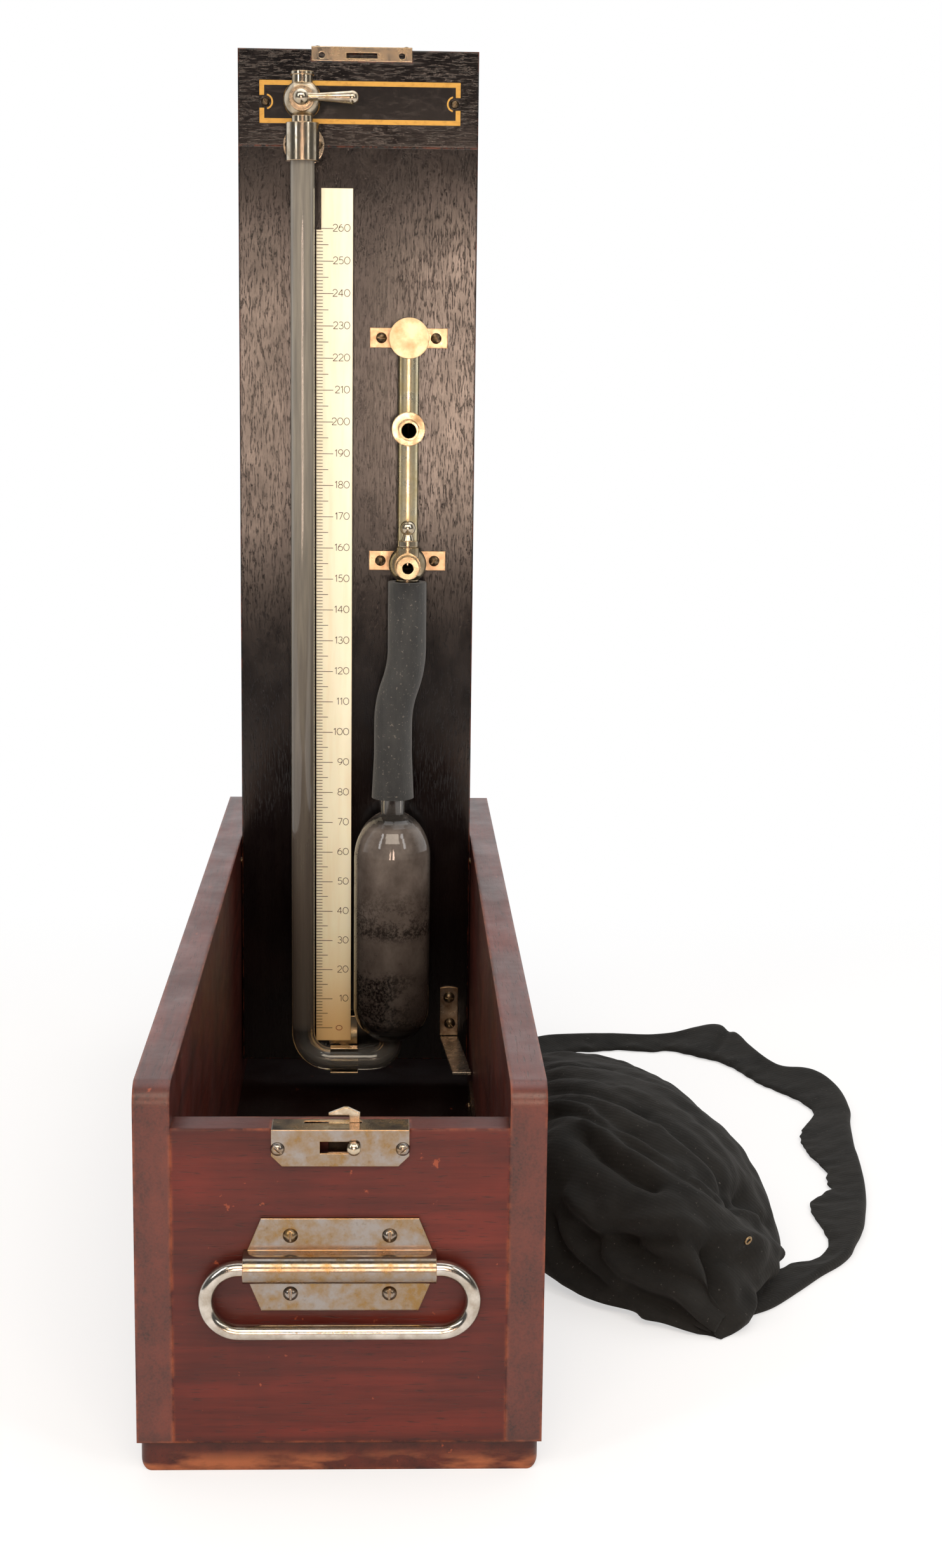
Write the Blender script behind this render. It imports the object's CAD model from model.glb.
"""Finishes and soft pieces of a boxed mercury manometer, dressed on its fixed frame."""

import math

import bmesh
import bpy
from mathutils import Matrix, Vector, noise


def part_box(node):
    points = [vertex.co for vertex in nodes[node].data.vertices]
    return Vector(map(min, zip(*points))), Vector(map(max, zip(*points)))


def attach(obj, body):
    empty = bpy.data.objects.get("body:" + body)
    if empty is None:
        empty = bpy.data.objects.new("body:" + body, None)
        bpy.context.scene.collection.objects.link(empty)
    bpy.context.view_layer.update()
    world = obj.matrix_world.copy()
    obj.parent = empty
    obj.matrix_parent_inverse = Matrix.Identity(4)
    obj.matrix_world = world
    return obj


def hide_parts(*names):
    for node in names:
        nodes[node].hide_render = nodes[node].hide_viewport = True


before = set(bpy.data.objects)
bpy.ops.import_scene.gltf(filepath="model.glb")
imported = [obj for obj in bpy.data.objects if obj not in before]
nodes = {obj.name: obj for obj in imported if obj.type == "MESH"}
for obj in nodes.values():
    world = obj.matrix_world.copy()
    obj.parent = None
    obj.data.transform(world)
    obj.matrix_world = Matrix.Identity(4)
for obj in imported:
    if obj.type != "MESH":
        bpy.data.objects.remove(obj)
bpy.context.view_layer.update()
scene = bpy.context.scene
scene.view_settings.view_transform = "Standard"
MM = 0.001


# ---- Small helpers -----------------------------------------------------------


def colour(hex_code, alpha=1.0):
    """An sRGB hex colour as linear RGBA."""
    parts = [int(hex_code[i : i + 2], 16) / 255 for i in (1, 3, 5)]
    linear = [c / 12.92 if c < 0.04045 else ((c + 0.055) / 1.055) ** 2.4 for c in parts]
    return (*linear, alpha)


def add(tree, kind, settings=(), links=()):
    """One shader node with its properties, its inputs' values and its joins."""
    node = tree.nodes.new("ShaderNode" + kind)
    for key, value in dict(settings).items():
        if isinstance(key, int) or key in node.inputs:
            node.inputs[key].default_value = value
        else:
            setattr(node, key, value)
    for key, socket in dict(links).items():
        tree.links.new(socket, node.inputs[key])
    return node


def start(name, **values):
    """A new material, its node tree and its shader with constant values set."""
    made = bpy.data.materials.new(name)
    made.use_nodes = True
    shader = made.node_tree.nodes["Principled BSDF"]
    for key, value in values.items():
        shader.inputs[key.replace("_", " ")].default_value = value
    return made, made.node_tree, shader


def patches(tree, spans, low, high, detail=3.0, rough=0.55, shift=0.0, to=(0, 1)):
    """A pattern of noise whose patches span so many millimetres in X, Y and Z."""
    place = add(tree, "TexCoord").outputs["Object"]
    scale = [1 / (s * MM) for s in spans]
    mapped = add(tree, "Mapping", {"Scale": scale, "Location": (shift,) * 3}, {"Vector": place})
    grain = {"Scale": 1.0, "Detail": detail, "Roughness": rough}
    cloud = add(tree, "TexNoise", grain, {"Vector": mapped.outputs[0]})
    cut = {"From Min": low, "From Max": high, "To Min": to[0], "To Max": to[1]}
    return add(tree, "MapRange", cut, {"Value": cloud.outputs[0]}).outputs[0]


def rise(tree, axis, low, high, to=(0, 1)):
    """A value that changes evenly between two places on an axis, in millimetres."""
    place = add(tree, "SeparateXYZ", (), {0: add(tree, "TexCoord").outputs["Object"]})
    span = {"From Min": low * MM, "From Max": high * MM, "To Min": to[0], "To Max": to[1]}
    return add(tree, "MapRange", span, {"Value": place.outputs[axis]}).outputs[0]


def stain(tree, base, mask, amount, tint):
    """A colour or socket with `tint` laid over it by a 0-1 mask, at most by `amount`."""
    share = add(tree, "Math", {"operation": "MULTIPLY", 1: amount}, {0: mask}).outputs[0]
    values, links = {"data_type": "RGBA", 7: colour(tint)}, {0: share}
    if isinstance(base, str):
        values[6] = colour(base)
    else:
        links[6] = base
    return add(tree, "Mix", values, links).outputs[2]


def relief(tree, normal, depth, strength, *pattern, **more):
    """A normal with a noise pattern raised on it, or sunk where the depth is negative."""
    links = {"Height": patches(tree, *pattern, **more)}
    if normal:
        links["Normal"] = normal
    values = {"invert": depth < 0, "Strength": strength, "Distance": abs(depth) * MM}
    return add(tree, "Bump", values, links).outputs[0]


def soft_edge(tree, radius):
    """The normal of a slightly rounded edge, and a 0-1 mask of where edges wear."""
    rounded = add(tree, "Bevel", {"samples": 6, "Radius": radius * MM})
    flat = add(tree, "NewGeometry")
    pair = {0: rounded.outputs[0], 1: flat.outputs["Normal"]}
    match = add(tree, "VectorMath", {"operation": "DOT_PRODUCT"}, pair).outputs["Value"]
    worn = add(tree, "MapRange", {"From Min": 0.99, "From Max": 0.86}, {"Value": match})
    return rounded.outputs[0], worn.outputs[0]


def join(tree, shader, **sockets):
    """Feeds patterns into a shader's inputs, which are named with underscores."""
    for key, socket in sockets.items():
        tree.links.new(socket, shader.inputs[key.replace("_", " ")])


def spans_along(axis, long, wide):
    """Pattern spans that are long on one axis and wide on the other two."""
    return tuple(long if a == axis else wide for a in "XYZ")


# ---- Finishes ----------------------------------------------------------------


def waxed_mahogany(name, along, tone, end_axis=None, top="", coat=0.12, shine=0.3, chipped=0.0):
    """Oiled and waxed mahogany: red-brown, with dark pore dashes along the grain,
    a soft wax gloss, and paler orange wood where the edges have rubbed. End grain
    shows on faces toward `end_axis`, a board's upper face may have a colour of its
    own, and `chipped` is how much bare wood shows along the foot."""
    mat, tree, shader = start(
        name, Coat_Weight=coat, Coat_Roughness=0.24, IOR=1.5, Specular_IOR_Level=shine
    )
    dark, middle, light = tone
    figure = patches(tree, spans_along(along, 60, 4), 0.32, 0.68, 5)
    base = stain(tree, dark, figure, 1, middle)
    streaks = patches(tree, spans_along(along, 22, 0.9), 0.35, 0.7, 4, shift=3)
    base = stain(tree, base, streaks, 0.28, light)
    pores = patches(tree, spans_along(along, 5, 0.32), 0.6, 0.68, 2, shift=7)
    base = stain(tree, base, pores, 0.6, "#1d0b07")
    base = stain(tree, base, patches(tree, (38, 38, 38), 0.4, 0.7, 4, shift=11), 0.65, "#2b0d08")
    normals = add(tree, "SeparateXYZ", (), {0: add(tree, "TexCoord").outputs["Normal"]})
    if end_axis is not None:
        dots = patches(tree, (0.5, 9, 0.5), 0.45, 0.7, 2, shift=5)
        smear = patches(tree, (14, 14, 24), 0.35, 0.7, 5, 0.7, shift=17)
        ends = stain(tree, stain(tree, "#42190f", dots, 1, "#1d0b07"), smear, 0.7, "#682a1a")
        is_end = add(tree, "Math", {"operation": "ABSOLUTE"}, {0: normals.outputs[end_axis]})
        layers = {0: is_end.outputs[0], 6: base, 7: ends}
        base = add(tree, "Mix", {"data_type": "RGBA"}, layers).outputs[2]
    if top:
        is_top = add(tree, "Math", {"operation": "MAXIMUM"}, {0: normals.outputs[2]})
        base = stain(tree, base, is_top.outputs[0], 1, top)
    # Dirt has gathered in the seam between the panels and the base board
    seam = {0: rise(tree, 2, 4.5, 6.8), 1: rise(tree, 2, 10, 7.4)}
    seam = add(tree, "Math", {"operation": "MULTIPLY"}, seam).outputs[0]
    base = stain(tree, base, seam, 0.4, "#1d0805")
    normal, edges = soft_edge(tree, 1.3)
    chips = patches(tree, (7, 9, 7), 0.42, 0.62, 5, 0.7, shift=2)
    rubbed = add(tree, "Math", {"operation": "MULTIPLY"}, {0: edges, 1: chips})
    base = stain(tree, base, rubbed.outputs[0], 0.8, "#9c4f2c")
    base = stain(tree, base, patches(tree, (3.4, 5, 3.4), 0.69, 0.73, 4, 0.6, shift=9), 0.7, "#8e4326")
    if chipped:
        foot = {0: rise(tree, 2, 5, 2), 1: patches(tree, (20, 20, 6), 0.46, 0.6, 4, 0.6, shift=12)}
        foot = add(tree, "Math", {"operation": "MULTIPLY"}, foot).outputs[0]
        base = stain(tree, base, foot, chipped, "#a5603a")
    normal = relief(tree, normal, -0.05, 0.6, spans_along(along, 5, 0.32), 0.6, 0.68, 2, shift=7)
    normal = relief(tree, normal, 0.05, 0.5, (3, 3, 3), 0.2, 0.8, 4)
    gloss = patches(tree, (16, 16, 16), 0.3, 0.7, 5, 0.65, shift=4, to=(0.34, 0.54))
    join(tree, shader, Base_Color=base, Roughness=gloss, Normal=normal)
    return mat


def ebonised_mahogany(name, along):
    """Mahogany stained black and brush-polished: near black, with open pores and
    brush ridges that break up the gloss, and red-brown wood at the rubbed edges."""
    mat, tree, shader = start(name, IOR=1.5)
    figure = patches(tree, spans_along(along, 50, 2.4), 0.35, 0.7, 5)
    base = stain(tree, "#050304", figure, 1, "#0c0807")
    base = stain(tree, base, patches(tree, (26, 26, 26), 0.5, 0.8, 4, shift=6), 0.4, "#1c100c")
    normal, edges = soft_edge(tree, 0.8)
    chips = patches(tree, (2.5, 2.5, 6), 0.45, 0.6, 5, 0.7, shift=2)
    rubbed = add(tree, "Math", {"operation": "MULTIPLY"}, {0: edges, 1: chips})
    base = stain(tree, base, rubbed.outputs[0], 0.75, "#7c3a20")
    pores = spans_along(along, 3.2, 0.42)
    normal = relief(tree, normal, -0.022, 0.8, pores, 0.54, 0.66, 3, 0.6, shift=1)
    normal = relief(tree, normal, 0.01, 0.5, spans_along(along, 4, 1.2), 0.25, 0.75, 4, shift=8)
    normal = relief(tree, normal, 0.006, 0.6, spans_along(along, 30, 0.7), 0.3, 0.7, 3, shift=14)
    gloss = patches(tree, (9, 9, 14), 0.3, 0.7, 5, 0.7, shift=4, to=(0.12, 0.2))
    join(tree, shader, Base_Color=base, Roughness=gloss, Normal=normal)
    return mat


def aged_nickel(name, bright, dull, rough, grime=0.3, wear=0.5, bore=None):
    """Nickel plate on brass, a century old: a warm, slightly yellow metal with
    cloudy tarnish, fine scratches and brass showing through on the edges. The
    roughness is given where it is bright and where it is dull. A bore is given as
    its cross-section's axes, a point on its line and its radius in mm, and is
    black with old rubber and dust."""
    mat, tree, shader = start(name, Metallic=1.0)
    clouds = patches(tree, (5, 5, 5), 0.38, 0.66, 5, 0.65)
    base = stain(tree, bright, clouds, 1, dull)
    base = stain(tree, base, patches(tree, (1.4, 1.4, 1.4), 0.6, 0.72, 4, 0.7, shift=5), grime, "#5a4630")
    normal, edges = soft_edge(tree, 0.35)
    base = stain(tree, base, edges, wear, "#d9a45c")
    gloss = patches(tree, (5, 5, 5), 0.38, 0.66, 5, 0.65, to=rough)
    if bore:
        across, middle, radius = bore
        place = add(tree, "TexCoord").outputs["Object"]
        off = add(tree, "VectorMath", {"operation": "SUBTRACT", 1: middle}, {0: place})
        flat = add(tree, "VectorMath", {"operation": "MULTIPLY", 1: across}, {0: off.outputs[0]})
        away = add(tree, "VectorMath", {"operation": "LENGTH"}, {0: flat.outputs[0]})
        inside = {"From Min": (radius + 0.12) * MM, "From Max": radius * MM}
        dirt = add(tree, "MapRange", inside, {"Value": away.outputs["Value"]}).outputs[0]
        base = stain(tree, base, dirt, 1, "#060504")
    normal = relief(tree, normal, 0.01, 0.35, (0.25, 0.25, 6), 0.5, 0.75, 3, shift=9)
    join(tree, shader, Base_Color=base, Roughness=gloss, Normal=normal)
    return mat


def darkened_steel(name):
    """Blued steel screws gone brown: dark metal with rust and dull oil."""
    mat, tree, shader = start(name, Metallic=1.0)
    clouds = patches(tree, (1.1, 1.1, 1.1), 0.4, 0.65, 4, 0.6)
    base = stain(tree, "#7d6c55", clouds, 1, "#3f3024")
    normal, edges = soft_edge(tree, 0.2)
    base = stain(tree, base, edges, 0.6, "#c2a677")
    gloss = patches(tree, (1.1, 1.1, 1.1), 0.4, 0.65, 4, 0.6, to=(0.3, 0.55))
    join(tree, shader, Base_Color=base, Roughness=gloss, Normal=normal)
    return mat


def black_enamel(name):
    """Stoved black enamel on brass: deep black, fairly glossy, lightly scuffed."""
    mat, tree, shader = start(name, IOR=1.5)
    scuffs = patches(tree, (3, 3, 1.2), 0.5, 0.75, 5, 0.7)
    base = stain(tree, "#070607", scuffs, 0.6, "#171414")
    gloss = patches(tree, (3, 3, 1.2), 0.5, 0.75, 5, 0.7, to=(0.18, 0.3))
    join(tree, shader, Base_Color=base, Roughness=gloss)
    return mat


def gilt_line(name):
    """Gold-coloured lacquer lines: warm yellow metal, rubbed thin in places."""
    mat, tree, shader = start(name, Metallic=0.6, Roughness=0.36)
    thin = patches(tree, (2.2, 2.2, 1.3), 0.5, 0.75, 5, 0.7)
    join(tree, shader, Base_Color=stain(tree, "#c49b4c", thin, 0.8, "#9a7636"))
    return mat


def ivory_celluloid(name):
    """Cream celluloid: smooth and slightly waxy, yellowed, deeper at its foot."""
    mat, tree, shader = start(name, IOR=1.5, Subsurface_Weight=0.05, Subsurface_Scale=0.002)
    base = stain(tree, "#fdf7da", rise(tree, 2, 64, 30), 1, "#efd199")
    base = stain(tree, base, rise(tree, 2, 46, 26), 0.5, "#cf9a5c")
    base = stain(tree, base, patches(tree, (2.5, 6, 30), 0.45, 0.75, 4), 0.25, "#e8c58c")
    normal, edges = soft_edge(tree, 0.3)
    base = stain(tree, base, edges, 0.5, "#d99a4e")
    gloss = patches(tree, (2.5, 6, 30), 0.45, 0.75, 4, to=(0.3, 0.42))
    join(tree, shader, Base_Color=base, Roughness=gloss, Normal=normal)
    return mat


def scale_ink(name, shade):
    """Engraved lines filled with brown ink, matt and slightly uneven."""
    mat, tree, shader = start(name, Roughness=0.7, IOR=1.45)
    uneven = patches(tree, (1.5, 1.5, 1.5), 0.35, 0.7, 3)
    join(tree, shader, Base_Color=stain(tree, shade, uneven, 1, "#5e3a24"))
    return mat


def filmed_glass(name):
    """Blown soda glass with what mercury left in it: a grey oxide film, dense at the
    head of the tube and thin in its bend, and black sooty patches in the bulb."""
    mat, tree, shader = start(name, Roughness=0.05, IOR=1.5)
    streaks = patches(tree, (1.3, 1.3, 24), 0.3, 0.7, 5, 0.6)
    tube = stain(tree, "#7a756d", streaks, 1, "#979082")
    tube = stain(tree, tube, rise(tree, 2, 210, 70), 0.7, "#54483f")
    clouds = patches(tree, (7, 7, 10), 0.3, 0.7, 5, 0.6)
    bulb = stain(tree, "#887e76", clouds, 1, "#665c55")
    bulb = stain(tree, bulb, rise(tree, 2, 90, 40), 0.75, "#352d29")
    # Soot lies in a pool at the bulb's foot, thickest on its left, and in a belt above it
    pool = {0: rise(tree, 2, 56, 51), 1: rise(tree, 0, 27, 9, (0.3, 1))}
    pool = add(tree, "Math", {"operation": "MULTIPLY"}, pool).outputs[0]
    belt = {0: rise(tree, 2, 60, 65), 1: rise(tree, 2, 92, 66, (0, 0.9))}
    belt = add(tree, "Math", {"operation": "MULTIPLY"}, belt).outputs[0]
    grains = patches(tree, (0.9, 0.9, 0.9), 0.3, 0.54, 6, 0.75, shift=3)
    banks = patches(tree, (9, 9, 7), 0.36, 0.5, 6, 0.75, shift=8)
    soot = add(tree, "Math", {"operation": "MAXIMUM"}, {0: pool, 1: belt}).outputs[0]
    on_right = rise(tree, 0, -3, 0)
    for share in (grains, banks, on_right):
        soot = add(tree, "Math", {"operation": "MULTIPLY"}, {0: soot, 1: share}).outputs[0]
    bulb = stain(tree, bulb, soot, 0.97, "#0a0908")
    film = add(tree, "Mix", {"data_type": "RGBA"}, {0: on_right, 6: tube, 7: bulb}).outputs[2]
    # The neck and the bend have kept clear, and their tint fades later than their film
    bare = []
    for neck, bend in (((97, 101), (37, 31)), ((100, 106), (33, 25))):
        above = {0: rise(tree, 2, *neck), 1: on_right}
        above = add(tree, "Math", {"operation": "MULTIPLY"}, above).outputs[0]
        below = rise(tree, 2, *bend)
        bare.append(add(tree, "Math", {"operation": "MAXIMUM"}, {0: above, 1: below}).outputs[0])
    # A film colour here tints what shows through as well
    in_tube = rise(tree, 2, 60, 210, (0.58, 0.2))
    in_bulb = patches(tree, (7, 7, 10), 0.3, 0.7, 5, 0.6, to=(0.3, 0.5))
    see = add(tree, "Mix", (), {0: on_right, 2: in_tube, 3: in_bulb}).outputs[0]
    see = add(tree, "Math", {"operation": "SUBTRACT"}, {0: see, 1: soot}).outputs[0]
    see = add(tree, "Math", {"operation": "MAXIMUM"}, {0: see, 1: bare[0]}).outputs[0]
    clear = {"operation": "MULTIPLY", 1: 0.93}
    join(
        tree,
        shader,
        Base_Color=stain(tree, film, bare[1], 0.9, "#d9d6cf"),
        Transmission_Weight=add(tree, "Math", clear, {0: see}).outputs[0],
        Normal=relief(tree, None, 0.04, 0.3, (1.2, 1.2, 40), 0.2, 0.8, 2),
    )
    return mat


def old_rubber(name):
    """Cloth-wrapped, steam-cured rubber tube: charcoal, dull, with a fine lengthwise
    print of the wrapping and pale bloom in specks."""
    mat, tree, shader = start(
        name, Roughness=0.82, IOR=1.5, Sheen_Weight=0.2, Sheen_Roughness=0.5
    )
    wear = patches(tree, (5, 5, 14), 0.35, 0.7, 5, 0.65)
    base = stain(tree, "#282929", wear, 1, "#3a3a38")
    base = stain(tree, base, patches(tree, (0.7, 0.7, 0.8), 0.64, 0.7, 2, shift=4), 0.6, "#7d756b")
    normal = relief(tree, None, 0.08, 0.5, (0.5, 0.5, 16), 0.3, 0.7, 2, shift=6)
    normal = relief(tree, normal, -0.06, 0.5, (0.9, 0.9, 1.1), 0.45, 0.7, 4, 0.7, shift=9)
    join(tree, shader, Base_Color=base, Normal=normal)
    return mat


def black_twill(name):
    """Black cotton twill, washed soft: a dull charcoal with a fine diagonal rib,
    a little lint and a soft sheen on the folds. The ribs are drawn 0.9 mm apart,
    coarser than real ones, so that they show."""
    rib_gap = 0.9 * MM
    mat, tree, shader = start(
        name, Roughness=0.95, IOR=1.35, Sheen_Weight=0.1, Sheen_Roughness=0.5,
        Sheen_Tint=colour("#8c8a86"),
    )
    faded = patches(tree, (14, 14, 14), 0.35, 0.7, 5, 0.65)
    base = stain(tree, "#121211", faded, 1, "#1e1d1b")
    base = stain(tree, base, patches(tree, (0.8, 0.8, 0.8), 0.7, 0.75, 2, shift=6), 0.5, "#5c5854")
    # The wave pattern runs through 20 radians in each unit of its scale
    wave = {
        "Scale": math.tau / rib_gap / 20,
        "Distortion": 1.2,
        "Detail": 1.0,
        "bands_direction": "DIAGONAL",
    }
    rib = add(tree, "TexWave", wave, {"Vector": add(tree, "TexCoord").outputs["Object"]})
    ribbed = {"Height": rib.outputs["Fac"]}
    normal = add(tree, "Bump", {"Strength": 0.35, "Distance": 0.1 * MM}, ribbed).outputs[0]
    normal = relief(tree, normal, 0.08, 0.4, (0.6, 0.6, 0.6), 0.2, 0.8, 3, shift=2)
    normal = relief(tree, normal, 0.5, 0.5, (5, 5, 5), 0.2, 0.8, 3, shift=21)
    join(tree, shader, Base_Color=base, Normal=normal)
    return mat


def middle_of(node):
    """The middle of a node's box, which lies on the line of its bore."""
    low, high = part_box(node)
    return (low + high) / 2


# The axes that span a bore's cross-section: of one that stands, and of one toward the viewer
STANDING, FORWARD = (1, 1, 0), (1, 0, 1)
PIPE_BORE = (STANDING, middle_of("manifold_pipe"), 2.3)
NIPPLE_BORE = (FORWARD, middle_of("upper_nipple"), 2.25)
# The lower valve's box is wider than its nose, so the nose has a point of its own
NOSE_BORE = (FORWARD, Vector((16, 65.3, 182.5)) * MM, 1.7)

# Dark, middle and light tones of each board
FRONT_TONE = ("#3e0f08", "#5b1a10", "#702818")
BASE_TONE = ("#4a180f", "#6b2819", "#7c3822")
WALL_TONE = ("#3a110b", "#5e2015", "#7d3623")

finishes = {
    "front": waxed_mahogany("mahogany_front_panel", "X", FRONT_TONE),
    "wall": waxed_mahogany(
        "mahogany_wall_board", "Y", WALL_TONE, end_axis=1, coat=0.15, shine=0.5, chipped=0.3
    ),
    "back": waxed_mahogany("mahogany_back_panel", "X", WALL_TONE),
    "base": waxed_mahogany("mahogany_base_board", "Y", BASE_TONE, top="#0a0605", chipped=0.6),
    "lid": ebonised_mahogany("ebonised_lid_board", "Z"),
    "cleat": ebonised_mahogany("ebonised_lid_cleat", "X"),
    "fitting": aged_nickel("nickel_turned_fitting", "#cbbfab", "#a08f74", (0.14, 0.3)),
    "pipe": aged_nickel(
        "nickel_drawn_pipe", "#f0e3c2", "#d8c496", (0.26, 0.36), bore=PIPE_BORE
    ),
    "nipple": aged_nickel(
        "nickel_bored_nipple", "#b9aa90", "#8f7d60", (0.2, 0.34), wear=0.4, bore=NIPPLE_BORE
    ),
    "nose": aged_nickel(
        "nickel_bored_nose", "#b9aa90", "#8f7d60", (0.2, 0.34), wear=0.4, bore=NOSE_BORE
    ),
    "strap": aged_nickel("nickel_bent_strap", "#c8b092", "#a98c6c", (0.26, 0.38)),
    "plate": aged_nickel(
        "nickel_pressed_plate", "#928c87", "#8b6f47", (0.16, 0.3), grime=0.4, wear=0.4
    ),
    "wire": aged_nickel(
        "nickel_drawn_wire", "#cbc5bc", "#a49a8c", (0.1, 0.2), grime=0.15, wear=0.1
    ),
    "face": aged_nickel(
        "nickel_faced_cap", "#dfd0ae", "#c9b48a", (0.36, 0.46), grime=0.15, wear=0.4
    ),
    "spring": aged_nickel("nickel_spring_leaf", "#a39382", "#6b543f", (0.26, 0.44), grime=0.7),
    "arm": aged_nickel("brushed_spring_arm", "#d4cec3", "#9a9184", (0.22, 0.36), wear=0.3),
    "eyelet": aged_nickel(
        "brass_eyelet", "#a8906c", "#7a6248", (0.25, 0.4), grime=0.4, wear=0.2
    ),
    "screw": darkened_steel("darkened_steel_screw"),
    "enamel": black_enamel("black_enamelled_plate"),
    "gilt": gilt_line("gilt_lacquer_line"),
    "celluloid": ivory_celluloid("ivory_celluloid_scale"),
    "ink": scale_ink("brown_scale_ink", "#3a2012"),
    "red_ink": scale_ink("red_scale_ink", "#a2402a"),
    "glass": filmed_glass("filmed_soda_glass"),
    "rubber": old_rubber("wrapped_black_rubber"),
    "twill": black_twill("black_cotton_twill"),
}

# The pieces that take each finish; what isn't named here is a turned fitting
taken_by = {
    "front": ["front_panel"],
    "wall": ["left_wall", "right_wall"],
    "back": ["back_panel"],
    "base": ["base_board"],
    "lid": ["lid_board"],
    "cleat": ["lid_cleat"],
    "pipe": ["manifold_pipe"],
    "nipple": ["upper_nipple"],
    "nose": ["lower_valve_body"],
    "strap": ["lower_strap", "upper_strap"],
    "plate": [
        "lock_plate", "lock_screws", "handle_plate", "handle_screws", "catch_strip",
        "catch_strip_screws",
    ],
    "wire": ["bail_handle"],
    "face": ["cap_drum"],
    "spring": ["catch_leaf_foot"],
    "arm": ["catch_leaf_arm"],
    "screw": [
        "pivot_pins", "strike_screws", "name_plate_screws", "ferrule_screws",
        "lower_strap_screws", "upper_strap_screws", "catch_leaf_screws",
    ],
    "enamel": ["name_plate"],
    "celluloid": ["scale_plate"],
    "glass": ["manometer_glass"],
    "rubber": ["rubber_hose"],
    "twill": ["cuff_bundle", "cuff_strap"],
}
finish_of = {name: finish for finish, names in taken_by.items() for name in names}
for name, node in nodes.items():
    node.data.materials.clear()
    node.data.materials.append(finishes[finish_of.get(name, "fitting")])


# ---- Pieces on the lid -------------------------------------------------------


def piece(name, mesh_maker, finish, body):
    """A new object from a function that fills a bmesh, riding on one body."""
    bm = bmesh.new()
    mesh_maker(bm)
    bmesh.ops.recalc_face_normals(bm, faces=bm.faces)
    mesh = bpy.data.meshes.new(name)
    bm.to_mesh(mesh)
    bm.free()
    made = bpy.data.objects.new(name, mesh)
    scene.collection.objects.link(made)
    mesh.materials.append(finishes[finish])
    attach(made, body)
    return made


def band(bm, path, width, front, depth):
    """A thin flat line of even width through (x, z) points, raised on a face at Y = front."""
    sides = []
    for i, (x, z) in enumerate(path):
        before, after = path[max(i - 1, 0)], path[min(i + 1, len(path) - 1)]
        if path[0] == path[-1] and i in (0, len(path) - 1):
            before, after = path[-2], path[1]
        along = Vector((after[0] - before[0], after[1] - before[1])).normalized()
        off = Vector((-along.y, along.x)) * width / 2
        corners = [(x + s * off.x, y, z + s * off.y) for s in (1, -1) for y in (front, front - depth)]
        sides.append([bm.verts.new(c) for c in corners])
    for a, b in zip(sides, sides[1:]):
        for i, j in ((0, 1), (1, 3), (3, 2), (2, 0)):
            bm.faces.new((a[i], a[j], b[j], b[i]))
    for end in (sides[0], sides[-1]):
        bm.faces.new((end[0], end[1], end[3], end[2]))


def arc(cx, cz, rx, rz, first, last, steps=14):
    """Points of an upright arc round (cx, cz), from one angle to another in degrees."""
    turn = [math.radians(first + (last - first) * i / steps) for i in range(steps + 1)]
    return [(cx + rx * math.cos(t), cz + rz * math.sin(t)) for t in turn]


# Engraver's numerals in a box one high: (advance width, strokes)
NUMERALS = {
    "0": (0.80, [arc(0.4, 0.5, 0.4, 0.5, 0, 360, 24)]),
    "1": (0.34, [[(0.02, 0.78), (0.24, 1.0)], [(0.24, 1.02), (0.24, 0)]]),
    "2": (0.66, [arc(0.32, 0.7, 0.31, 0.3, 165, -35), [(0.57, 0.53), (0.0, 0.0)],
                 [(0.0, 0.0), (0.66, 0)]]),
    "3": (0.62, [arc(0.29, 0.75, 0.27, 0.25, 150, -88), arc(0.29, 0.26, 0.32, 0.27, 92, -150)]),
    "4": (0.70, [[(0.52, 0), (0.52, 1.0)], [(0.52, 1.0), (0.0, 0.3)], [(0.0, 0.3), (0.7, 0.3)]]),
    "5": (0.64, [[(0.58, 1.0), (0.14, 1.0)], [(0.14, 1.0), (0.07, 0.55)],
                 arc(0.3, 0.32, 0.33, 0.32, 135, -140)]),
    "6": (0.68, [arc(0.34, 0.32, 0.33, 0.32, 0, 360, 22), arc(0.62, 0.34, 0.6, 0.66, 180, 105)]),
    "7": (0.62, [[(0.0, 1.0), (0.62, 1.0)], [(0.62, 1.0), (0.2, 0.0)]]),
    "8": (0.66, [arc(0.33, 0.75, 0.27, 0.25, 0, 360, 22), arc(0.33, 0.25, 0.33, 0.26, 0, 360, 22)]),
    "9": (0.68, [arc(0.34, 0.68, 0.33, 0.32, 0, 360, 22), arc(0.06, 0.66, 0.6, 0.66, 0, -75)]),
}
scale_low, scale_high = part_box("scale_plate")
ZERO_Z, UNIT = 29.15 * MM, 0.9846 * MM
TOP_MARK = 260
# The scale's long edge, and the edge of its narrower head with the topmost mark
EDGE_X = scale_low.x + 0.05 * MM
HEAD_X = scale_low.x + 1.5 * MM
NUMBERS_RIGHT = scale_low.x + 10.4 * MM
# How far a mark reaches into the scale, for marks every 10, 5 and 1 units
REACHES = ((10, 5.3 * MM), (5, 3.75 * MM), (1, 2.0 * MM))
INK_HIGH = 0.02 * MM


def ticks(bm):
    for value in range(TOP_MARK + 1):
        reach = next(reach for every, reach in REACHES if value % every == 0)
        left = HEAD_X if value == TOP_MARK else EDGE_X
        z = ZERO_Z + value * UNIT
        band(bm, [(left, z), (scale_low.x + reach, z)], 0.2 * MM, scale_low.y, INK_HIGH)


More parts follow.
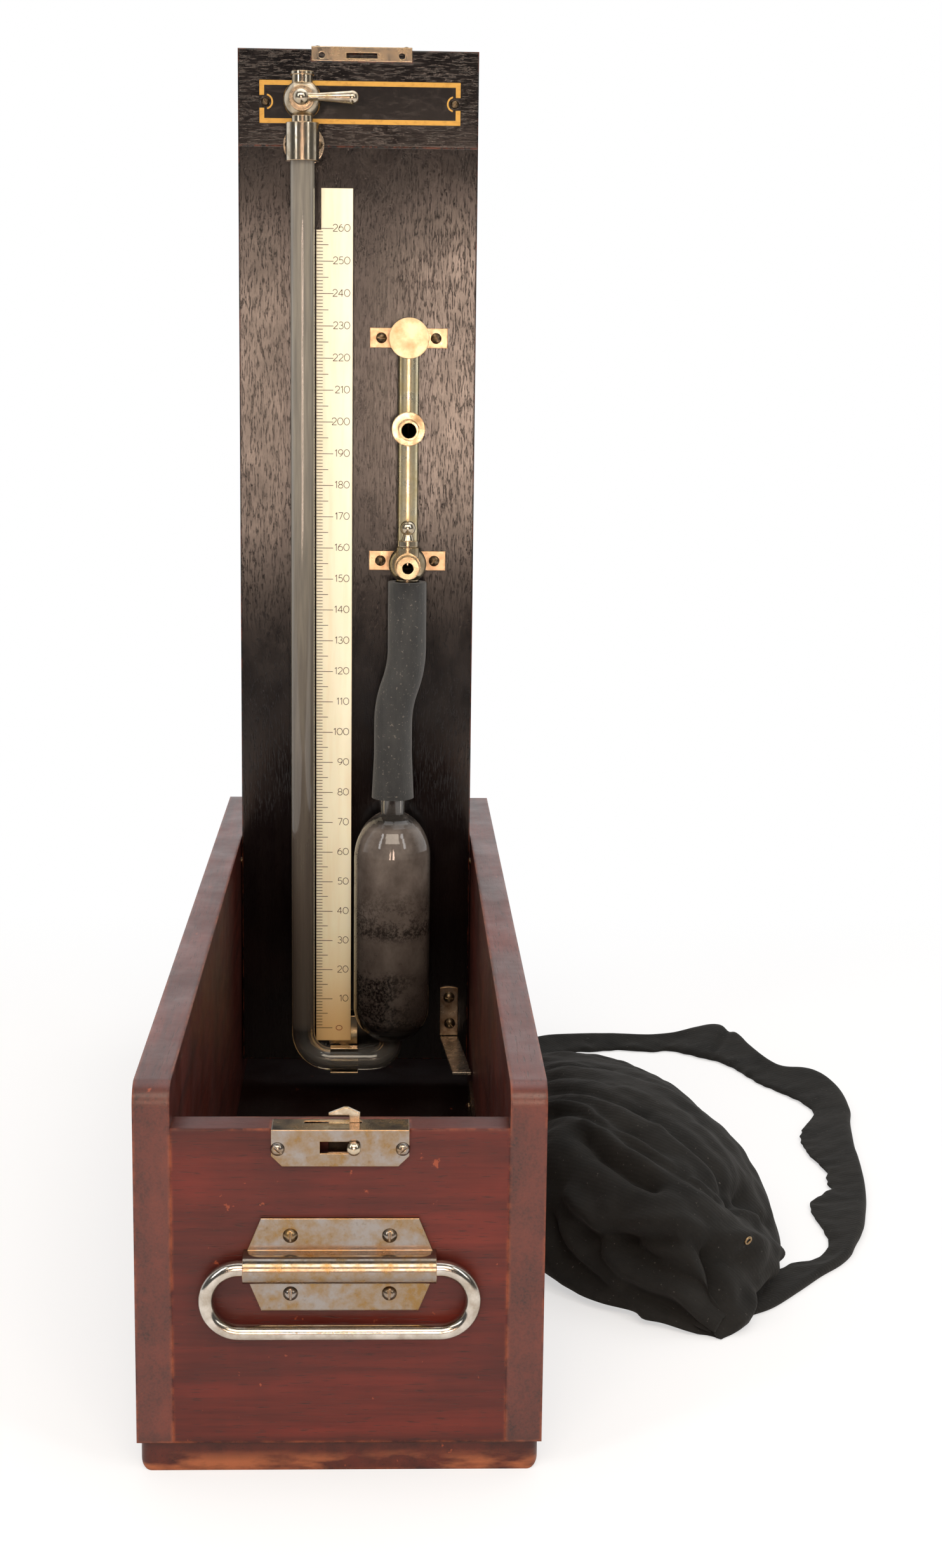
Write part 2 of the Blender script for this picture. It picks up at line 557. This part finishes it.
def numbers(bm):
    high, gap, pen, lift = 2.15 * MM, 0.32 * MM, 0.2 * MM, 0.25 * MM
    for value in range(10, TOP_MARK + 1, 10):
        x = NUMBERS_RIGHT
        base = ZERO_Z + value * UNIT - high / 2 + lift
        for digit in reversed(str(value)):
            width, strokes = NUMERALS[digit]
            x -= width * high
            for stroke in strokes:
                path = [(x + px * high, base + pz * high) for px, pz in stroke]
                band(bm, path, pen, scale_low.y, INK_HIGH)
            x -= gap


def lying_zero(bm):
    middle = scale_low.x + 7.5 * MM
    ring = arc(middle, ZERO_Z, 1.0 * MM, 0.78 * MM, 0, 360, 28)
    band(bm, ring, 0.22 * MM, scale_low.y, INK_HIGH)


piece("scale_ticks", ticks, "ink", "lid")
piece("scale_numbers", numbers, "ink", "lid")
piece("scale_zero", lying_zero, "red_ink", "lid")

plate_low, plate_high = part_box("name_plate")


def plate_border(bm):
    """Gilt frame round the bare plate, bowed in past its two screws."""
    line, edge, thick = 1.45 * MM, 0.12 * MM, 0.03 * MM
    screw_in, bow_radius, bow_line = 1.9 * MM, 2.15 * MM, 0.5 * MM
    x0, x1 = plate_low.x + edge + line / 2, plate_high.x - edge - line / 2
    z0, z1 = plate_low.z + edge + line / 2, plate_high.z - edge - line / 2
    middle, half = (z0 + z1) / 2, line / 2
    for z in (z0, z1):
        band(bm, [(x0 - half, z), (x1 + half, z)], line, plate_low.y, thick)
    screws = (plate_low.x + screw_in, plate_high.x - screw_in)
    for x, screw_x, facing in zip((x0, x1), screws, (0, 180)):
        for low, high in ((z0 + half, middle - screw_in), (middle + screw_in, z1 - half)):
            band(bm, [(x, low), (x, high)], line, plate_low.y, thick)
        bow = arc(screw_x, middle, bow_radius, bow_radius, facing - 75, facing + 75)
        band(bm, bow, bow_line, plate_low.y, thick)


piece("name_plate_border", plate_border, "gilt", "lid")


# ---- Cuff --------------------------------------------------------------------

# The cuff in mm: where it starts on Y, how long and high it is, where it meets the case
# and how low it lies. Then its left and right sides and its ridge's share of the height
NEAR_TIP, CUFF_LONG, CUFF_HIGH, CASE_SIDE, TABLE_GAP = -98, 192, 42, 46.75, 0.3
CUFF_LEFT = (
    (-98, 95), (-95, 91), (-86, 80), (-80, 71), (-71, 62.5), (-58, 53), (-50, 46.7), (94, 46.7),
)
CUFF_RIGHT = (
    (-98, 97.5), (-93, 101), (-84, 106), (-74, 111), (-60, 116), (-45, 119.5), (-34, 121),
    (-12, 119), (8, 115.5), (30, 110.5), (55, 105.5), (75, 98), (94, 80),
)
CUFF_RIDGE = (
    (-98, 0.1), (-93, 0.42), (-84, 0.7), (-70, 0.87), (-45, 1), (-15, 1), (20, 0.9), (50, 0.74),
    (75, 0.55), (94, 0.32),
)
# Where the cloth is folded, in mm: lift (below zero is a crease), half width, points.
# The points were marked on the photograph by eye. A program put the marks through the camera
# onto the plain bundle and rounded them; seven of the lines were changed or made otherwise
FOLDS = (
    (-2.6, 2.4, ((57, -15, 37), (61, -20, 39), (65, -25, 41), (69, -32, 42), (73, -45, 42),
                 (79, -51, 40), (85, -60, 38), (90, -68, 35), (96, -68, 32), (105, -64, 26),
                 (111, -58, 21), (117, -49, 13))),
    (-2.6, 2.0, ((57, -24, 37), (60, -28, 39), (64, -34, 41), (69, -44, 42), (73, -51, 41),
                 (76, -57, 39), (82, -63, 38), (88, -68, 36), (93, -72, 33), (98, -72, 31),
                 (105, -67, 25))),
    (1.8, 2.2, ((57, -20, 37), (61, -24, 39), (65, -28, 41), (69, -39, 42), (73, -49, 41),
                (78, -55, 40), (84, -61, 38), (89, -68, 36), (94, -70, 33), (101, -69, 29),
                (110, -61, 20))),
    (2.0, 2.4, ((65, -44, 41), (69, -50, 41), (75, -60, 39), (80, -66, 37), (83, -70, 36))),
    (-6.5, 3.4, ((64, -48, 40), (67, -57, 38), (72, -66, 37), (75, -70, 36), (81, -73, 35))),
    (-3.0, 2.6, ((82, -33, 41), (87, -42, 40), (90, -48, 39), (95, -54, 36), (100, -58, 32),
                 (103, -61, 29), (109, -54, 24))),
    (1.6, 2.6, ((86, -46, 40), (89, -51, 38), (93, -57, 36), (97, -63, 33))),
    (-1.6, 2.0, ((60, 23, 35), (65, 18, 38), (70, 15, 38), (77, 15, 38))),
    (-1.4, 2.0, ((59, 8, 36), (64, 4, 39), (70, -4, 41), (76, -14, 42))),
    (-1.8, 2.0, ((58, -4, 37), (63, -12, 40), (69, -19, 42), (75, -27, 42), (82, -34, 41))),
    (-1.8, 2.2, ((79, 50, 30), (84, 38, 32), (90, 24, 34), (97, 10, 33), (104, -6, 29))),
    (3.6, 3.0, ((60, -63, 26), (63, -68, 24), (66, -73, 22), (71, -78, 23), (79, -82, 26),
                (84, -85, 27), (90, -86, 27), (95, -86, 25), (98, -86, 23), (104, -79, 20),
                (109, -70, 16), (116, -57, 7))),
    (-6.0, 3.2, ((66, -73, 19), (71, -78, 20), (79, -84, 22), (85, -86, 23), (90, -87, 23),
                 (94, -88, 21), (98, -87, 20), (104, -80, 17))),
    (2.8, 3.0, ((77, -82, 20), (80, -85, 21), (83, -86, 21), (86, -87, 22))),
    (-2.6, 1.8, ((76, -82, 18), (78, -84, 17), (84, -87, 18), (87, -88, 19))),
    (3.4, 3.0, ((66, -73, 21), (68, -76, 15), (73, -81, 13), (79, -85, 11), (85, -90, 11),
                (88, -92, 10), (90, -94, 6), (93, -97, 3))),
    (-5.0, 2.8, ((70, -78, 19), (75, -82, 15), (81, -86, 14), (87, -91, 14), (90, -93, 13),
                 (92, -96, 8), (95, -98, 5))),
    (-4.0, 2.2, ((62, -69, 18), (66, -74, 14), (71, -80, 9), (78, -85, 7), (84, -90, 6),
                 (89, -93, 4), (93, -97, 1))),
    (2.6, 3.0, ((59, -64, 18), (63, -70, 13), (68, -76, 10), (73, -81, 7), (78, -85, 4),
                (84, -90, 3), (89, -93, 1))),
    (-3.6, 2.2, ((54, -58, 18), (58, -64, 11), (64, -73, 8), (71, -80, 5), (76, -84, 2))),
    (2.2, 3.4, ((54, -60, 11), (57, -63, 7), (63, -72, 3), (71, -80, 2), (78, -85, 2))),
    (-9.0, 3.0, ((96, -87, 22), (96, -91, 19), (97, -93, 15), (97, -96, 9), (97, -98, 4))),
    (3.2, 3.6, ((103, -81, 20), (108, -75, 14), (114, -66, 6))),
    (2.6, 3.0, ((111, -74, 6), (106, -84, 6), (101, -92, 3))),
    (-3.2, 2.0, ((118, -50, 2), (111, -73, 4), (107, -82, 3))),
    (1.8, 3.0, ((63, -68, 25), (65, -70, 25), (68, -73, 27))),
    (-3.4, 3.6, ((111, -52, 23), (108, -60, 25), (105, -64, 26))),
)


def look_up(y, table):
    """A height or side from a table along Y, its corners rounded over 10 mm."""
    total = 0
    for shift in (-5, -2.5, 0, 2.5, 5):
        at = min(max(y + shift, table[0][0]), table[-1][0])
        for (y0, a), (y1, b) in zip(table, table[1:]):
            if at <= y1:
                total += a + (b - a) * (at - y0) / (y1 - y0)
                break
    return total / 5


def cuff_skin(u, v):
    """A point of the unfolded bundle in mm: u goes from its right side over to its
    left, v from its near tip to its far end."""
    y = NEAR_TIP + CUFF_LONG * v
    left, right = look_up(y, CUFF_LEFT), look_up(y, CUFF_RIGHT)
    turn = math.cos(math.pi * u)
    reach = math.copysign(abs(turn) ** 0.85, turn)
    arch = math.sin(math.pi * u**1.25) ** 0.75 if u < 1 else 0
    x = (left + right) / 2 + reach * (right - left) / 2
    return Vector((x, y, CUFF_HIGH * look_up(y, CUFF_RIDGE) * arch))


def gap_to(p, line):
    """Distance in mm from a point to a line of short straight runs."""
    best = 1e9
    for a, b in zip(line, line[1:]):
        run = b - a
        t = min(max((p - a).dot(run) / run.length_squared, 0), 1)
        best = min(best, (p - a - run * t).length)
    return best


def folded(p, normal):
    """Moves a point in or out by the fold lines near it and by small wrinkles."""
    lift = 0
    for height, half, line, low, high in FOLD_LINES:
        if any(p[i] < low[i] or p[i] > high[i] for i in range(3)):
            continue
        # A crease is sharper than a fold that stands up
        sharpness = 2 if height > 0 else 1.3
        lift += height * math.exp(-((gap_to(p, line) / half) ** sharpness))
    along, across = p.x * 0.6 - p.y * 0.8, p.x * 0.8 + p.y * 0.6
    lift += 1.5 * noise.noise(Vector((along / 46, across / 8.5, p.z / 16)))
    lift += 0.8 * noise.noise(Vector((along / 24, across / 4.6 + 9, p.z / 9)))
    lift += 0.45 * noise.noise(p / 6)
    return p + normal * lift


# Each fold as vectors, with the corners of a box outside which it is left out
FOLD_LINES = []
for height, half, points in FOLDS:
    line = [Vector(q) for q in points]
    margin = 3 * half
    low = [min(q[i] for q in line) - margin for i in range(3)]
    high = [max(q[i] for q in line) + margin for i in range(3)]
    FOLD_LINES.append((height, half, line, low, high))


def skin_rows(across, along):
    """The folded cloth's points in mm, row by row from the near tip."""
    plain = [
        [cuff_skin(i / across, (r / along) ** 1.2) for i in range(across + 1)]
        for r in range(along + 1)
    ]
    for r, row in enumerate(plain):
        made = []
        for i, p in enumerate(row):
            beside = row[min(i + 1, across)] - row[max(i - 1, 0)]
            ahead = plain[min(r + 1, along)][i] - plain[max(r - 1, 0)][i]
            normal = ahead.cross(beside)
            normal = normal.normalized() if normal.length > 1e-6 else Vector((0, 0, 1))
            if normal.z < -0.01:
                normal = -normal
            q = folded(p, normal)
            made.append(Vector((max(q.x, CASE_SIDE), q.y, max(q.z, TABLE_GAP))))
        yield made


def build_cuff(bm):
    across, along, cap_rows = 140, 190, 6
    cap_middle, cap_long = 62.5, 5
    rows = list(skin_rows(across, along))
    last_row = rows[-1]
    for k in range(1, cap_rows + 1):
        turn = math.pi / 2 * k / cap_rows
        shrink = math.cos(0.98 * turn)
        narrow = 0.6 + 0.4 * shrink
        back = cap_long * math.sin(turn)
        rows.append([
            Vector((cap_middle + (x - cap_middle) * narrow, y + back, max(z * shrink, TABLE_GAP)))
            for x, y, z in last_row
        ])
    grid = [[bm.verts.new(point * MM) for point in row] for row in rows]
    for a, b in zip(grid, grid[1:]):
        for i in range(across):
            bm.faces.new((a[i], a[i + 1], b[i + 1], b[i]))
        bm.faces.new((a[across], a[0], b[0], b[across]))
    bm.faces.new(grid[0])
    bm.faces.new(grid[-1])
    axes = {"use_axis_x": True, "use_axis_y": True, "use_axis_z": True}
    for _ in range(2):
        bmesh.ops.smooth_vert(bm, verts=bm.verts, factor=0.4, **axes)


cuff = piece("folded_cuff", build_cuff, "twill", "cuff")
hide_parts("cuff_bundle")

# Where the eyelet sits on the hood, its ring's radius and half the ring's width and height
EYELET_AT = Vector((105, -81, 21)) * MM
RING_RADIUS, RING_HALF, RING_RISE = 0.95 * MM, 0.35 * MM, 0.3 * MM


def eyelet(bm):
    """A small turned ring pressed into the cloth at the hood's right end."""
    around, section = 28, 10
    seat = min(cuff.data.vertices, key=lambda vert: (vert.co - EYELET_AT).length)
    tilt = seat.normal.to_track_quat("Z", "Y")
    rings = []
    for i in range(around):
        turn = math.tau * i / around
        ring = []
        for k in range(section):
            t = math.tau * k / section
            reach = RING_RADIUS + RING_HALF * math.cos(t)
            flat = (reach * math.cos(turn), reach * math.sin(turn), RING_RISE * math.sin(t))
            ring.append(bm.verts.new(seat.co + tilt @ Vector(flat)))
        rings.append(ring)
    for a, b in zip(rings, rings[1:] + rings[:1]):
        for k in range(section):
            bm.faces.new((a[k], a[(k + 1) % section], b[(k + 1) % section], b[k]))


hood_eyelet = piece("hood_eyelet", eyelet, "eyelet", "cuff")

# The strap's folded outer edge, its loose inner edge and its height at the fold, in mm.
# Where the strap shows, they were set near marks that were put through the camera likewise
STRAP = (
    ((66, 84), (80, 92), 3.6), ((55, 100), (69, 104), 3.6), ((49, 124), (63, 123), 3.6),
    ((54, 147), (67, 137), 3.8), ((65, 158), (73, 148), 4.2), ((79, 161), (84, 150), 4.4),
    ((94, 162), (95, 152), 4.2), ((106, 161.5), (105, 150), 4.0), ((115, 163), (112, 151), 4.4),
    ((124, 166.5), (118, 147), 5.6), ((132, 166), (123, 142.5), 6.8),
    ((138, 157.5), (128, 138), 6.2), ((141, 144), (133, 129.5), 5.4),
    ((144.5, 131), (137, 118), 4.8), ((149, 123), (141, 109), 4.4),
    ((156.5, 119.5), (146, 101), 5.0), ((161, 114), (150, 92), 5.0),
    ((163.7, 105), (152.3, 82), 4.4), ((164.8, 94), (150, 74), 4.0),
    ((164.3, 80), (146, 65), 3.6), ((162, 68), (143.5, 56), 3.4), ((160.3, 56), (143, 46), 3.4),
    ((158.8, 44), (144.3, 35), 3.4), ((157.8, 32), (145.8, 26), 3.6),
    ((156.3, 18), (145, 17), 3.6), ((154.9, 8), (144.3, 9.5), 3.6), ((153, -3), (139.5, 3), 3.4),
    ((150.8, -13), (136, -4), 3.4), ((147.8, -25), (135.5, -12), 3.4),
    ((143.8, -35), (136.3, -21), 3.2), ((141, -42), (136.5, -30), 3.2),
    ((136.5, -49), (134.8, -38), 3.0), ((130, -56.4), (130, -45), 2.8),
    ((122, -67), (124.5, -47), 2.6), ((113.5, -77.5), (117, -54), 2.6),
    ((107, -82.5), (111, -61), 2.6), ((101, -86), (105, -68), 2.4),
)


def between(points, v):
    """A smooth curve through the points, at fraction v of their number."""
    last = len(points) - 1
    s = min(v * last, last - 1e-6)
    i = int(s)
    t = s - i
    a, b, c, d = (Vector(points[max(0, min(last, i + k))]) for k in (-1, 0, 1, 2))
    return 0.5 * (
        2 * b + (c - a) * t + (2 * a - 5 * b + 4 * c - d) * t * t + (3 * b - a - 3 * c + d) * t**3
    )


# The strap's section, from its fold to its loose edge: share of the width, share of the height
STRAP_SECTION = (
    (0, 0.55), (0.03, 0.86), (0.09, 1), (0.18, 0.98), (0.3, 0.86), (0.43, 0.74), (0.56, 0.64),
    (0.69, 0.55), (0.81, 0.48), (0.9, 0.42), (0.96, 0.36), (1, 0.2),
)
# The sharp crease at the loop's far turn, in points along the strap, and its half width
CREASE_AT, CREASE_HALF, CREASE_DEEP = 10.6, 0.22, 1.3
# The least height of the strap's upper side over the table
STRAP_THIN = 0.9


def build_strap(bm):
    outer = [(*edge[0], edge[2]) for edge in STRAP]
    inner = [(*edge[1], 0) for edge in STRAP]
    steps = 420
    rings = []
    for r in range(steps + 1):
        v = r / steps
        out, inn = between(outer, v), between(inner, v)
        off = (v * (len(STRAP) - 1) - CREASE_AT) / CREASE_HALF
        crease = CREASE_DEEP * math.exp(-(off**2))
        ring = []
        for w, share in STRAP_SECTION:
            x, y = out.x + (inn.x - out.x) * w, out.y + (inn.y - out.y) * w
            ripple = noise.noise(Vector((x / 5, y / 5, 3))) * 0.9 * w
            sway = noise.noise(Vector((x / 17, y / 17, 8))) * 1.1
            push = noise.noise(Vector((x / 4, y / 4, 15))) * 0.9 * w
            side = (inn - out).to_2d().normalized() * push
            z = out.z * share + ripple + sway * (1 - abs(2 * w - 1)) - crease
            ring.append((x + side.x, y + side.y, max(z, STRAP_THIN)))
        under = [(x, y, TABLE_GAP) for x, y, z in reversed(ring[1:-1])]
        rings.append([bm.verts.new(Vector(q) * MM) for q in ring + under])
    count = len(rings[0])
    for a, b in zip(rings, rings[1:]):
        for i in range(count):
            bm.faces.new((a[i], a[(i + 1) % count], b[(i + 1) % count], b[i]))
    bm.faces.new(rings[0])
    bm.faces.new(rings[-1])


strap = piece("folded_strap", build_strap, "twill", "cuff")
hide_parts("cuff_strap")
for soft in (cuff, strap, hood_eyelet):
    for face in soft.data.polygons:
        face.use_smooth = True


# ---- Light, floor and camera -------------------------------------------------


def softbox(name, place, aim, size, watts, tint="#ffffff"):
    """A flat rectangular lamp that faces the point it is aimed at."""
    data = bpy.data.lights.new(name, "AREA")
    data.shape = "RECTANGLE"
    data.size, data.size_y = size
    data.energy = watts
    data.color = colour(tint)[:3]
    lamp = bpy.data.objects.new(name, data)
    scene.collection.objects.link(lamp)
    lamp.location = place
    lamp.rotation_mode = "QUATERNION"
    lamp.rotation_quaternion = (Vector(aim) - Vector(place)).to_track_quat("-Z", "Y")


softbox("overhead", (0.1, 0.2, 1.25), (0.05, 0, 0.05), (1.4, 1.1), 6)
softbox("front_fill", (0, -1.5, 1.4), (0, 0.05, 0.15), (1.5, 0.7), 20, "#fff0dc")
softbox("left_glow", (-0.1, -0.95, 0.21), (0, 0.09, 0.21), (0.09, 0.24), 0.95, "#ffdcc4")
softbox("right_glow", (0.07, -0.95, 0.22), (0, 0.09, 0.22), (0.08, 0.23), 1.15, "#ffdcc4")
softbox("left_strip", (-0.75, -0.75, 0.75), (0, 0.05, 0.15), (0.16, 0.8), 2.6)
softbox("right_strip", (0.75, -0.75, 0.75), (0, 0.05, 0.15), (0.16, 0.8), 2.2)

world = bpy.data.worlds.new("studio")
scene.world = world
world.use_nodes = True
sky = world.node_tree
sky.nodes.clear()
# What the world lends the object as light, and how bright its dim side looks in reflections
WORLD_LIGHT, DIM_ROOM = 0.52, 0.1
rays = add(sky, "LightPath").outputs
bounced = {0: rays["Is Glossy Ray"], 1: rays["Is Transmission Ray"]}
bounced = add(sky, "Math", {"operation": "MAXIMUM"}, bounced).outputs[0]
seen = {0: rays["Is Camera Ray"], 1: bounced}
seen = add(sky, "Math", {"operation": "MAXIMUM"}, seen).outputs[0]
# The white backdrop stands behind the object and over it; the room in front is dim
way = add(sky, "SeparateXYZ", (), {0: add(sky, "TexCoord").outputs["Generated"]}).outputs[1]
turning = {
    "interpolation_type": "SMOOTHSTEP", "From Min": -0.25, "From Max": 0.25, "To Min": DIM_ROOM,
}
drop = add(sky, "MapRange", turning, {"Value": way}).outputs[0]
shown = {0: rays["Is Camera Ray"], 1: drop}
shown = add(sky, "Math", {"operation": "MAXIMUM"}, shown).outputs[0]
light = {"data_type": "FLOAT", 2: WORLD_LIGHT}
strength = add(sky, "Mix", light, {0: seen, 3: shown}).outputs[0]
air = add(sky, "Background", {"Color": colour("#ffffff")}, {"Strength": strength})
add(sky, "OutputWorld", (), {"Surface": air.outputs[0]})

TABLE_LEFT, TABLE_RIGHT, TABLE_FRONT, TABLE_BACK = -1.3, 1.5, -0.62, 0.36
floor_mesh = bpy.data.meshes.new("table_top")
table_corners = [
    (TABLE_LEFT, TABLE_FRONT, 0), (TABLE_RIGHT, TABLE_FRONT, 0),
    (TABLE_RIGHT, TABLE_BACK, 0), (TABLE_LEFT, TABLE_BACK, 0),
]
floor_mesh.from_pydata(table_corners, [], [(0, 1, 2, 3)])
table_top = bpy.data.objects.new("table_top", floor_mesh)
scene.collection.objects.link(table_top)
paper, tree, shader = start(
    "white_paper", Roughness=0.9, IOR=1.3, Base_Color=colour("#f4f4f5")
)
# To the camera the paper is nearly white, and its far edge runs into the backdrop
white = {0: add(tree, "LightPath").outputs["Is Camera Ray"], 1: rise(tree, 1, 180, 355, (0.55, 1))}
white = add(tree, "Math", {"operation": "MULTIPLY"}, white).outputs[0]
glow = add(tree, "Emission", {"Color": colour("#ffffff"), "Strength": 1.0}).outputs[0]
blend = add(tree, "MixShader", (), {0: white, 1: shader.outputs[0], 2: glow}).outputs[0]
tree.links.new(blend, tree.nodes["Material Output"].inputs["Surface"])
floor_mesh.materials.append(paper)

# The camera stands where the photograph was taken: its place, direction and lens were
# fitted to the case's edges by least squares
lens = bpy.data.cameras.new("camera")
camera = bpy.data.objects.new("camera", lens)
scene.collection.objects.link(camera)
scene.camera = camera
lens.lens = 54.06
lens.clip_start, lens.clip_end = 0.01, 50
right = Vector((0.999326, -0.034568, 0.012370))
up = Vector((-0.005699, 0.186785, 0.982384))
ahead = Vector((0.036270, 0.981792, -0.186462))
turn = Matrix((right, up, -ahead)).transposed().to_4x4()
camera.matrix_world = Matrix.Translation((0.00951, -0.66274, 0.25277)) @ turn
